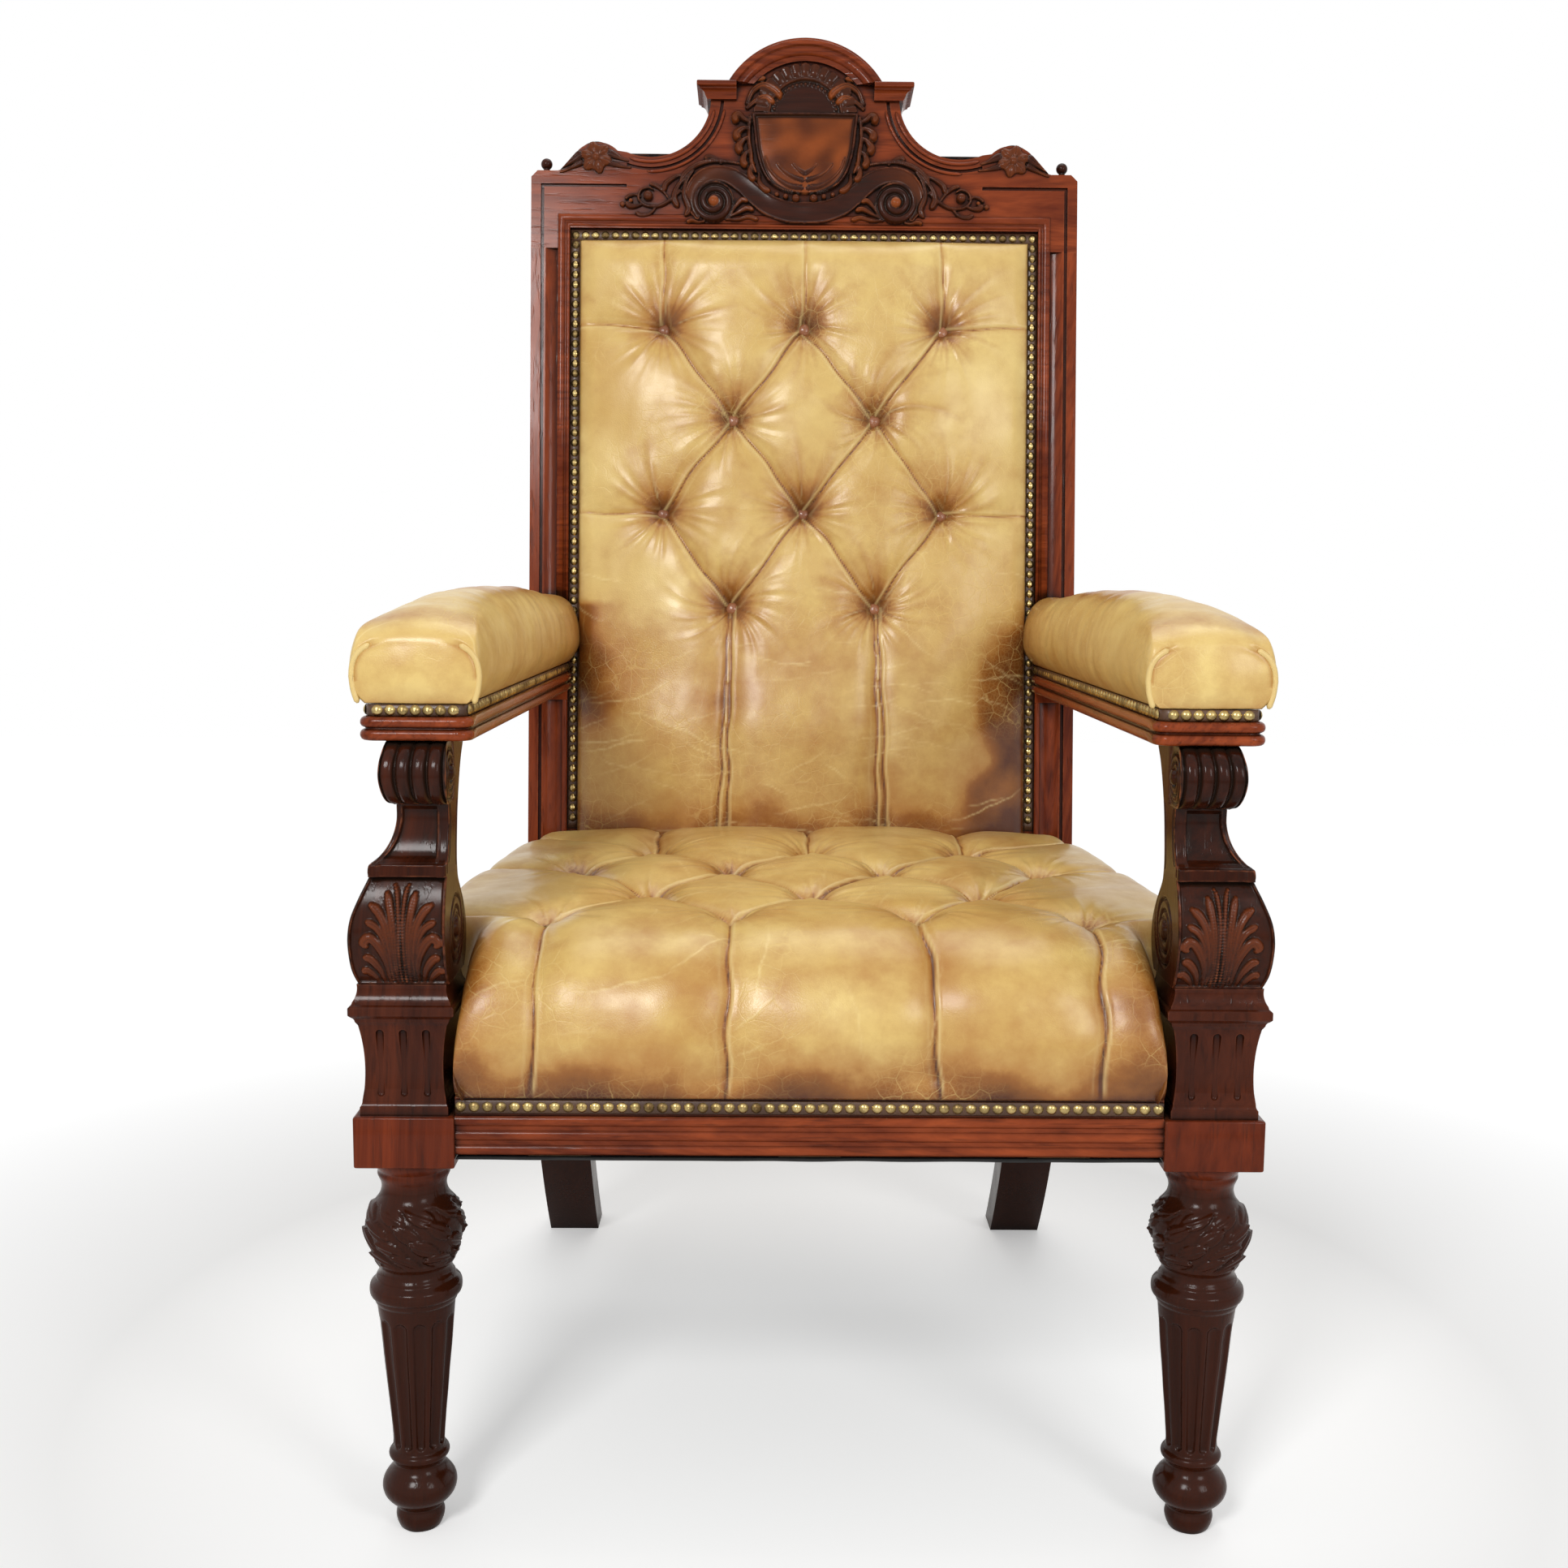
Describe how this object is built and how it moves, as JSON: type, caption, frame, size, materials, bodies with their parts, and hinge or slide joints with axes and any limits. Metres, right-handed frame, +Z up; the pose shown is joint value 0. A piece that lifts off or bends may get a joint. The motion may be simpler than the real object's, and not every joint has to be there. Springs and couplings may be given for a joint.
{
  "type": "hall porter chair",
  "caption": "High-backed hall armchair with turned front legs, scrolled arm supports, carved crest, and deep-buttoned leather seat and back.",
  "frame": {"origin": "centre of the chair's box, on the floor", "axes": "+Z up, +X to the right seen from the front, +Y from the front to the back"},
  "size_m": [0.728, 0.7582, 1.3554],
  "materials": {
    "mahogany": "polished, dark red-brown",
    "carved_mahogany": "polished, dark in the recesses",
    "beech": "plain",
    "leather": "aged, glazed",
    "leather_brown": "aged, glazed",
    "old_brass": "tarnished",
    "spring_steel": "coppered",
    "screw_steel": "plain",
    "jute_web": "woven",
    "canvas": "woven",
    "black_cloth": "woven"
  },
  "bodies": {
    "root": {"arm_border_left": "leather_brown", "arm_border_right": "leather_brown", "arm_dowels": "beech", "arm_nails_left": "old_brass", "arm_nails_right": "old_brass", "arm_pad_left": "leather", "arm_pad_right": "leather", "arm_pedestal_left": "mahogany", "arm_pedestal_right": "mahogany", "arm_rail_left": "mahogany", "arm_rail_right": "mahogany", "arm_support_left": "carved_mahogany", "arm_support_right": "carved_mahogany", "arm_welts": "leather", "back_border": "leather_brown", "back_buttons": "leather_brown", "back_hessian": "canvas", "back_lower_rail": "mahogany", "back_nails": "old_brass", "back_outside_cover": "leather_brown", "back_pad": "leather", "back_post_left": "mahogany", "back_post_right": "mahogany", "back_webbing": "jute_web", "corner_blocks": "beech", "corner_screws": "screw_steel", "crest_balls": "carved_mahogany", "crest_board": "mahogany", "crest_fan": "carved_mahogany", "crest_hood": "mahogany", "crest_leaves": "carved_mahogany", "crest_rosettes": "carved_mahogany", "crest_scroll": "carved_mahogany", "crest_shield": "carved_mahogany", "crest_volutes": "carved_mahogany", "front_leg_left": "mahogany", "front_leg_right": "mahogany", "front_seat_rail": "mahogany", "outside_nails": "old_brass", "rear_seat_rail": "mahogany", "seat_border": "leather_brown", "seat_bottom_cloth": "black_cloth", "seat_buttons": "leather_brown", "seat_nails": "old_brass", "seat_pad": "leather", "seat_springs": "spring_steel", "seat_webbing": "jute_web", "side_seat_rail_left": "mahogany", "side_seat_rail_right": "mahogany", "spring_canvas": "canvas"}
  },
  "joints": []
}
